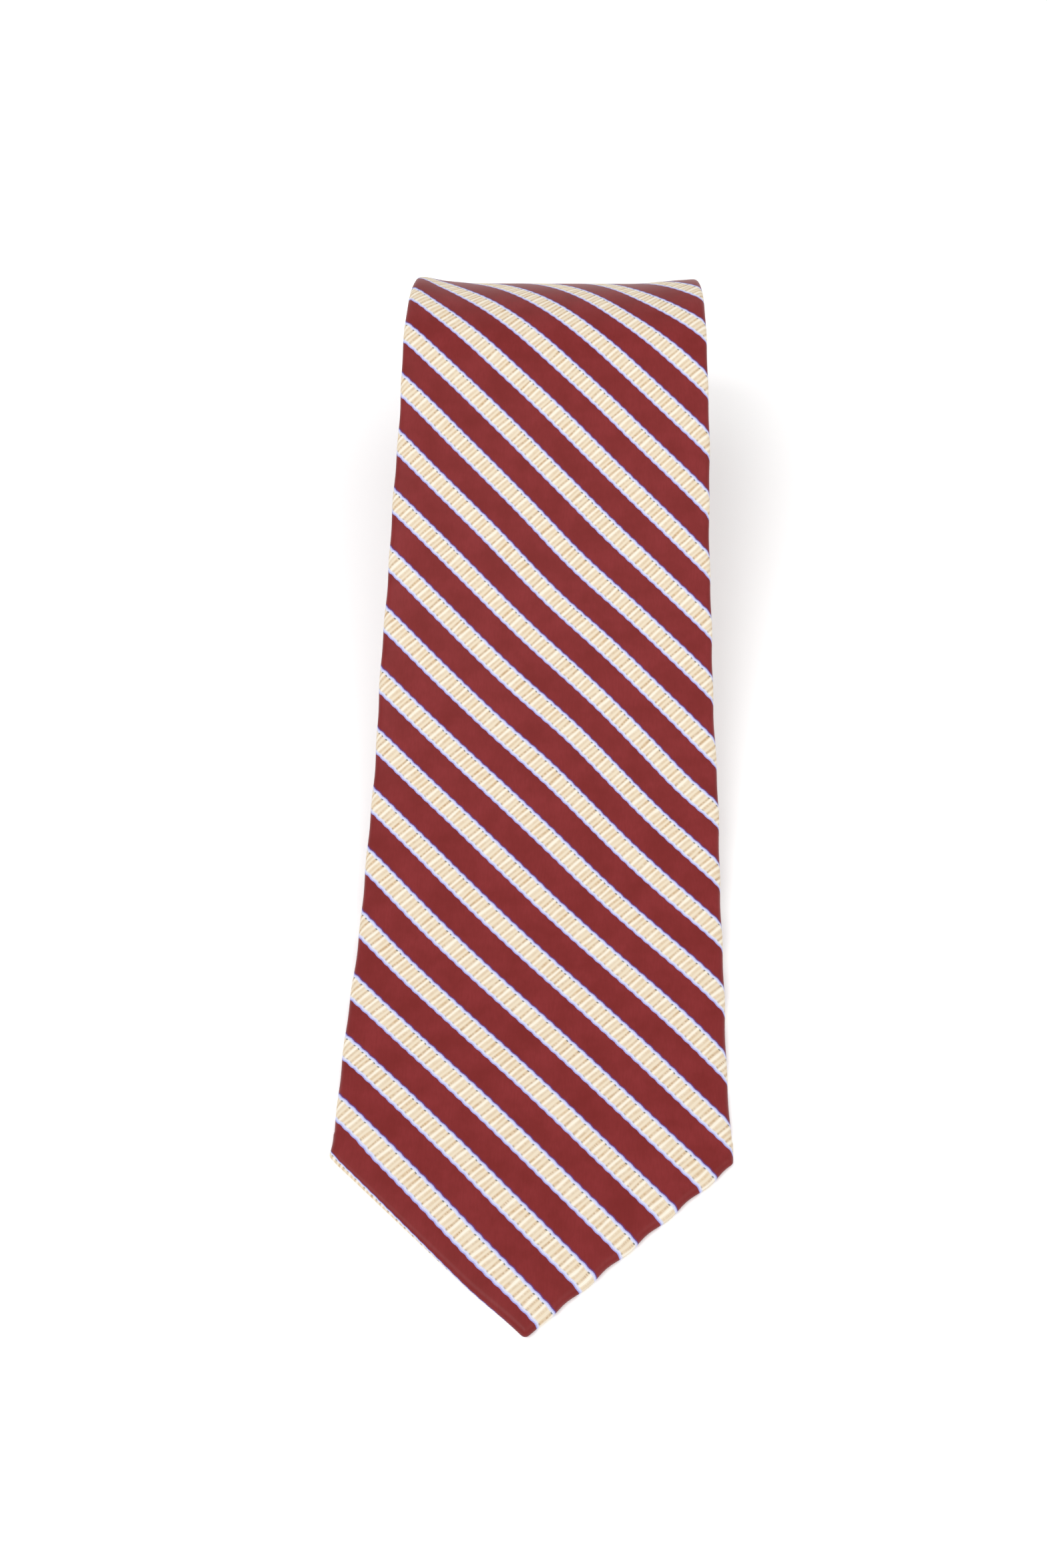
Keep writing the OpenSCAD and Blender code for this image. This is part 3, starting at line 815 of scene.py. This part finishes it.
def set_camera():
    """Looks down the tie from in front of its point."""
    ahead = Vector((math.sin(YAW) * math.cos(ELEVATION), math.cos(YAW) * math.cos(ELEVATION),
                    -math.sin(ELEVATION)))
    level = Vector((math.cos(YAW), -math.sin(YAW), 0))
    above = level.cross(ahead)
    right = level * math.cos(ROLL) + above * math.sin(ROLL)
    up = above * math.cos(ROLL) - level * math.sin(ROLL)
    tip_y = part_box("blade_silk_tip")[0].y
    target = Vector((TARGET[0] * MM, tip_y + TARGET[1] * MM, 0))
    data = bpy.data.cameras.new("camera")
    data.lens, data.sensor_width = LENS, 36
    data.clip_start, data.clip_end = 0.01, 50
    camera = bpy.data.objects.new("camera", data)
    camera.matrix_world = Matrix.Translation(target - ahead * DISTANCE * MM) @ Matrix(
        (right, up, -ahead)).transposed().to_4x4()
    bpy.context.scene.collection.objects.link(camera)
    bpy.context.scene.camera = camera


def add_lamp(name, place_at, size, power, colour=(1, 1, 1)):
    lamp = bpy.data.lights.new(name, "AREA")
    lamp.shape, lamp.size, lamp.energy, lamp.color = "DISK", size, power, colour
    obj = bpy.data.objects.new(name, lamp)
    obj.location = place_at
    obj.rotation_euler = (-Vector(place_at)).to_track_quat("-Z", "Y").to_euler()
    bpy.context.scene.collection.objects.link(obj)


def set_studio():
    mesh = bpy.data.meshes.new("floor")
    half, low = 4.0, -0.0002
    mesh.from_pydata([(-half, -half, low), (half, -half, low), (half, half, low),
                      (-half, half, low)], [], [(0, 1, 2, 3)])
    floor = bpy.data.objects.new("floor", mesh)
    mesh.materials.append(paper_floor())
    bpy.context.scene.collection.objects.link(floor)
    world = bpy.data.worlds.new("studio")
    world.use_nodes = True
    sky = world.node_tree.nodes["Background"]
    sky.inputs[0].default_value = (1, 1, 1, 1)
    sky.inputs[1].default_value = 0.72
    bpy.context.scene.world = world
    bpy.context.scene.view_settings.view_transform = "Standard"
    add_lamp("key", (-0.6, -0.5, 1.3), 1.0, 9, (1.0, 0.985, 1.0))
    add_lamp("fill", (0.7, -0.5, 1.1), 1.3, 5, (1.0, 0.985, 0.96))


set_camera()
set_studio()

SILK = striped_silk()
WOOL = brushed_wool()
LINING = lining_satin()
THREAD = sewing_thread()
RIBBON = woven_ribbon()


# ---- Joint places, and pieces baked where they lie ----

HINGES = {
    joint["name"]: Vector(joint["pos_m"])
    for joint in frame["record"]["behaviour"]["joints"]
}


def bend_at_point_fold(obj):
    """Bakes the piece's placement into its mesh; the cloth is not bent round the fold of the
    blade's end.
    """
    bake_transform(obj)


def bend_at_lift(obj):
    """Bakes the piece's placement into its mesh; the cloth is not bent where the blade leaves the
    roll.
    """
    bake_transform(obj)


# ---- Silk ----

def narrow_slit(s):
    return np.full_like(s, SLIT)


def tail_slit(s):
    opened = np.minimum(half_width(s) - HEM_W / 2, (s - TAIL_WINDOW_S) * 0.4)
    return np.maximum(SLIT, opened)


def make_silk():
    grid = Cloth()
    silk_point(grid, POINT_PIECE_END, 96, 26, 1.5)
    obj, flat, area = sheet_piece("silk_point", grid, SILK, SILK_T)
    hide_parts("blade_silk_tip")
    bend_at_point_fold(obj)
    tubes = (
        ("silk_slope", POINT_PIECE_END, SLOPE_PIECE_END, 96, 26, 1.5, narrow_slit, 0.0,
         "blade_silk_slope", "wool_slope"),
        ("silk_rolled_blade", SLOPE_PIECE_END, BLADE_SEAM_S - SEAM_HALF_GAP, 88, 24, 1.9,
         narrow_slit, 0.0, "blade_silk_rolled", "wool_rolled_blade"),
        ("silk_neck", BLADE_SEAM_S + SEAM_HALF_GAP, TAIL_SEAM_S - SEAM_HALF_GAP, 40, 12,
         1.8, narrow_slit, 6.3, "neck_silk", "wool_rolled_tail"),
        ("silk_tail", TAIL_SEAM_S + SEAM_HALF_GAP, TIE_LEN, 44, 14, 1.4, tail_slit, 11.8,
         "tail_silk", "wool_rolled_tail"),
    )
    for name, start, end, front, back, step, slit, shift, node, under in tubes:
        grid = Cloth()
        silk_tube(grid, stations(start, end, step), front, back, slit, shift)
        obj, flat, area = sheet_piece(name, grid, SILK, SILK_T)
        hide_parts(node)
        if name == "silk_slope":
            bend_at_lift(obj)
        else:
            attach(obj, "roll")


# ---- Wool and lining ----

WOOL_LOW, WOOL_HIGH, INSET = -0.5, 0.85, 0.5


def make_wool():
    grid = Cloth()
    slab_point(grid, INSET, WOOL_LOW, WOOL_HIGH, POINT_PIECE_END, 48, 3.0)
    obj = sheet_piece("wool_point", grid, WOOL, 0)[0]
    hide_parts("wide_interlining_tip")
    bend_at_point_fold(obj)
    bands = (
        ("wool_slope", POINT_PIECE_END, SLOPE_PIECE_END, 48, "wide_interlining_slope"),
        ("wool_rolled_blade", SLOPE_PIECE_END, WOOL_SEAM_S - SEAM_HALF_GAP, 40,
         "wide_interlining_rolled"),
        ("wool_rolled_tail", WOOL_SEAM_S + SEAM_HALF_GAP, TIE_LEN - 0.5, 24,
         "narrow_interlining"),
    )
    for name, start, end, cols, node in bands:
        grid = Cloth()
        slab_band(grid, INSET, WOOL_LOW, WOOL_HIGH, start, end, cols, 2.6)
        obj = sheet_piece(name, grid, WOOL, 0)[0]
        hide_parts(node)
        if name == "wool_slope":
            bend_at_lift(obj)
        else:
            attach(obj, "roll")


LINING_LOW, LINING_HIGH = -0.92, -0.62


def make_lining():
    grid = Cloth()
    slab_point(grid, INSET, LINING_LOW, LINING_HIGH, WINDOW_TOP - 1, 72, 1.8)
    obj, flat, area = sheet_piece("lining_point", grid, LINING, 0, layers=2)
    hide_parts("blade_tipping")
    bend_at_point_fold(obj)
    grid = Cloth()
    slab_band(grid, INSET, LINING_LOW, LINING_HIGH, TAIL_WINDOW_S + 2, TIE_LEN - 0.5, 24, 1.8)
    obj, flat, area = sheet_piece("lining_tail", grid, LINING, 0, layers=2)
    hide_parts("tail_tipping")
    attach(obj, "roll")


# ---- Keeper, label and care tag ----

KEEPER_S, KEEPER_W, KEEPER_T = 203.0, 11.0, 0.8
KEEPER_INNER, KEEPER_ROOM, KEEPER_FOOT = 52.0, 6.2, 5.0


def rounded_path(corners, rounds):
    """Corners cut again and again until the path is smooth."""
    path = np.array(corners, float)
    for _ in range(rounds):
        a, b = path[:-1], path[1:]
        cut = np.empty((2 * len(a), 2))
        cut[0::2], cut[1::2] = a * 0.75 + b * 0.25, a * 0.25 + b * 0.75
        path = np.vstack([path[:1], cut, path[-1:]])
    return path


def make_keeper():
    """A flattened tube of the tie's own silk, sewn down at both ends."""
    flat_x = KEEPER_INNER / 2
    foot_x = flat_x + KEEPER_ROOM
    mid = 0.1 + KEEPER_T / 2
    low = KEEPER_ROOM + KEEPER_T / 2
    corners = [(foot_x + KEEPER_FOOT, mid), (foot_x + 1.5, mid), (foot_x - 0.5, mid + 0.6),
               (flat_x + 1.2, low - 0.7), (flat_x - 1.5, low), (14, low + 0.12), (0, low + 0.2)]
    corners = corners + [(-x, h) for x, h in corners[-2::-1]]
    path = rounded_path(corners, 3)
    length = np.r_[0, np.cumsum(np.hypot(*np.diff(path, axis=0).T))]
    spots = np.linspace(0, length[-1], 150)
    x, h = np.interp(spots, length, path[:, 0]), np.interp(spots, length, path[:, 1])
    way = np.stack([np.gradient(x), np.gradient(h)], axis=1)
    way /= np.linalg.norm(way, axis=1)[:, None]
    side = np.stack([-way[:, 1], way[:, 0]], axis=1)
    half_w, half_t = KEEPER_W / 2, KEEPER_T / 2
    turn = np.linspace(-math.pi / 2, math.pi / 2, 7)
    flat = np.linspace(-1, 1, 15)[1:-1] * (half_w - half_t)
    edge_s = half_w - half_t + half_t * np.cos(turn)
    ring_s = np.r_[edge_s, flat[::-1], -edge_s, flat]
    ring_n = np.r_[half_t * np.sin(turn), np.full(len(flat), half_t),
                   half_t * np.sin(-turn), np.full(len(flat), -half_t)]
    ring_s, ring_n = np.r_[ring_s, ring_s[:1]], np.r_[ring_n, ring_n[:1]]
    around = np.r_[0, np.cumsum(np.hypot(np.diff(ring_s), np.diff(ring_n)))]
    groove = 1 - 0.5 * np.exp(-(ring_s / 0.5) ** 2) * (ring_n < 0)
    px = x[:, None] + side[:, :1] * ring_n * groove
    ph = h[:, None] + side[:, 1:] * ring_n * groove
    ps = KEEPER_S + ring_s[None] + 0.15 * np.sin(spots / 9)[:, None]
    grid = Cloth()
    grid.grid(px, ps, -HALF_T - ph, around[None], spots[:, None] + 60)
    for end, flip in ((0, True), (-1, False)):
        inward = np.linspace(1, 0, 3)[:, None]
        mid_s, mid_t = KEEPER_S, -HALF_T - h[end]
        grid.grid(x[end] + (px[end] - x[end]) * inward, mid_s + (ps[end] - mid_s) * inward,
                  mid_t + (-HALF_T - ph[end] - mid_t) * inward, around[None], spots[end] + 60, flip)
    obj, _, _ = sheet_piece("keeper_band", grid, SILK, 0, settled=False)
    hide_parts("keeper_loop")
    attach(obj, "blade")
    tacks = Thread(0.34)
    tack_x = foot_x + KEEPER_FOOT / 2
    for sign in (-1, 1):
        spot_t = -HALF_T - 0.1 - KEEPER_T - 0.12
        first = (sign * tack_x, KEEPER_S - half_w + 1.2, spot_t)
        last = (sign * tack_x, KEEPER_S + half_w - 1.2, spot_t)
        tacks.run(place(*zigzag(first, last, (0.75, 0, 0), 14).T))
    obj = tacks.piece("keeper_tack_threads", THREAD)
    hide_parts("keeper_tacks")
    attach(obj, "blade")


LABEL_S, LABEL_W, LABEL_H, LABEL_T = 177.0, 44.0, 18.0, 0.35


def make_label():
    """A blank woven label with folded ends, caught at both sides."""
    cols, rows = 66, 28
    u, v = np.linspace(-1, 1, cols + 1)[None], np.linspace(-1, 1, rows + 1)[:, None]
    x = u * LABEL_W / 2 * (1 - 0.006 * np.cos(v * math.pi / 2))
    s = LABEL_S + v * LABEL_H / 2 * (1 - 0.008 * np.cos(u * math.pi / 2))
    puff = 0.22 * (1 - u**4) * (1 - v**4) + 0.05 * np.sin(u * 9 + v * 2)
    t = -HALF_T - 0.2 - puff
    grid = Cloth()
    grid.grid(x, s, t, x, s, True)
    obj, flat, area = sheet_piece("label_ribbon", grid, RIBBON, LABEL_T, False)
    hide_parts("blank_label")
    bend_at_point_fold(obj)
    thread = Thread(0.28)
    for sign in (-1, 1):
        for along in (-1, 0, 1):
            spot = (sign * (LABEL_W / 2 - 1.5), LABEL_S + along * LABEL_H / 3)
            sweep = np.linspace(0, math.pi, 9)
            thread.run(place(
                spot[0] + 0.15 * np.cos(sweep), spot[1] - 1.2 * np.cos(sweep),
                -HALF_T - 0.42 - 0.32 * np.sin(sweep)))
    obj = thread.piece("label_threads", THREAD)
    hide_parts("label_stitches")
    bend_at_point_fold(obj)


def make_care_tag():
    """A folded blank ribbon that hangs from the seam across the back."""
    low, high = (np.array(corner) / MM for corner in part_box("care_tag"))
    hinge = HINGES["care_tag_swing"] / MM
    width, top, bottom = high[0] - low[0], high[2], low[2]
    cols, rows = 36, 34
    u, v = np.linspace(-1, 1, cols + 1)[None], np.linspace(0, 1, rows + 1)[:, None]
    x = u * width / 2 * (1 - 0.01 * np.sin(v * math.pi))
    curl = 1.1 * v**2 + 0.25 * np.sin(u * 2.2) * v + 0.12 * np.sin(v * 8 + u * 3) * v
    y = hinge.y + LABEL_T / 2 - curl + 0 * x
    z = top + (bottom - top) * v + 0 * x
    grid = Cloth()
    grid.grid(x, y, z, x, z)
    points, cloth, faces = grid.welded()
    obj = mesh_object("care_tag_ribbon", points, faces, cloth, RIBBON)
    thicken(obj, LABEL_T)
    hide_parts("care_tag")
    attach(obj, "care_tag")
    thread = Thread(0.36)
    x = np.linspace(-width / 2, width / 2, 97)
    dip = np.cos(x * TAU / 4)
    thread.run(np.stack([x, hinge.y + 0.12 * np.sin(x * TAU / 4), hinge.z + 0.12 * dip], axis=1))
    obj = thread.piece("care_tag_thread", THREAD)
    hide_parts("care_tag_stitches")
    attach(obj, "blade")


# ---- Stitches ----

def slip_thread(name, start, end):
    """The long thread that closes the back, catching one fold and then the other."""
    s = np.arange(start, end, 0.7)
    thread = Thread(0.36)
    x = 0.16 * np.sin(s * TAU / 8)
    thread.run(place(x, s, -HALF_T + 0.24 + 0.06 * np.cos(s * TAU / 4)))
    return thread.piece(name, THREAD)


def seam_thread(name, seam_s, low_t, high_t, node):
    """A machine zigzag that joins two lengths of cloth, in front and behind."""
    thread = Thread(0.2)
    half = float(half_width(seam_s)) - 1.2
    shift = settle(np.array([0.0]), np.array([seam_s]), np.array([0.0]))[0][0]
    for t in (low_t, high_t):
        spots = zigzag((shift - half, seam_s, t), (shift + half, seam_s, t), (0, 0.42, 0),
                       int(half * 1.6))
        thread.run(place(*spots.T))
    obj = thread.piece(name, THREAD)
    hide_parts(node)
    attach(obj, "roll")


def make_stitches():
    slip_thread_point = slip_thread("slip_thread_point", TIP_FOLD_S, POINT_PIECE_END)
    bend_at_point_fold(slip_thread_point)
    slip_thread_slope = slip_thread("slip_thread_slope", POINT_PIECE_END, SLOPE_PIECE_END)
    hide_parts("slip_stitch_slope")
    bend_at_lift(slip_thread_slope)
    slip_thread_rolled = slip_thread("slip_thread_rolled", SLOPE_PIECE_END, TAIL_WINDOW_S - 7)
    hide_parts("slip_stitch_rolled")
    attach(slip_thread_rolled, "roll")

    tack = Thread(0.36)
    t = -HALF_T - 0.3
    tack.run(place(*zigzag((-4.4, 156, t), (4.4, 156, t), (0, 0.42, 0), 22).T))
    obj = tack.piece("blade_tack_thread", THREAD)
    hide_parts("blade_bar_tack")
    bend_at_point_fold(obj)
    tack = Thread(0.2)
    tail_s = TAIL_WINDOW_S - 4
    t = -HALF_T + 0.2
    tack.run(place(*zigzag((0, tail_s - 1.9, t), (0, tail_s + 1.9, t), (0.24, 0, 0), 12).T))
    obj = tack.piece("tail_tack_thread", THREAD)
    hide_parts("tail_bar_tack")
    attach(obj, "roll")

    hem = Thread(0.28)
    window_tip = HEM_W / math.sin(POINT_ANGLE)
    hem_len = (BLADE_HALF_W - HEM_W) / math.sin(POINT_ANGLE)
    sweep = np.linspace(0, 1, 9)
    for side in (-1, 1):
        for k in range(int(hem_len / 7 - 0.5)):
            run = (k + 0.8) * 7 + 2.4 * sweep
            over = 0.75 - 1.5 * sweep
            x = run * math.sin(POINT_ANGLE) - over * -math.cos(POINT_ANGLE)
            s = window_tip + run * math.cos(POINT_ANGLE) - over * math.sin(POINT_ANGLE)
            t = -HALF_T + 0.06 + 0.3 * ease(-over, 0, 0.6)
            hem.run(place(side * x, s, t))
    obj = hem.piece("hem_threads", THREAD)
    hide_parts("blade_tipping_stitches")
    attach(obj, "point")

    hem = Thread(0.24)
    for side in (-1, 1):
        for k in range(1, 8):
            s = TAIL_WINDOW_S + HEM_W / 2 + k * 7 + 2.4 * sweep
            x = tail_slit(s) + 0.4 - 0.8 * sweep
            t = -HALF_T - 0.05 + 0.3 * ease(sweep, 0.45, 0.8)
            shifted = settle(side * x, s, 0 * s)[0]
            hem.run(place(shifted, s, t))
    obj = hem.piece("tail_hem_threads", THREAD)
    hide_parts("tail_tipping_stitches")
    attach(obj, "roll")

    inner = HALF_T - SILK_T / 2
    seam_thread("blade_seam_thread", BLADE_SEAM_S, -inner, inner, "blade_seam_stitches")
    seam_thread("tail_seam_thread", TAIL_SEAM_S, -inner, inner, "tail_seam_stitches")
    seam_thread("wool_seam_thread", WOOL_SEAM_S, WOOL_LOW, WOOL_HIGH,
                "interlining_seam_stitches")


make_silk()
make_wool()
make_lining()
make_keeper()
make_label()
make_care_tag()
make_stitches()
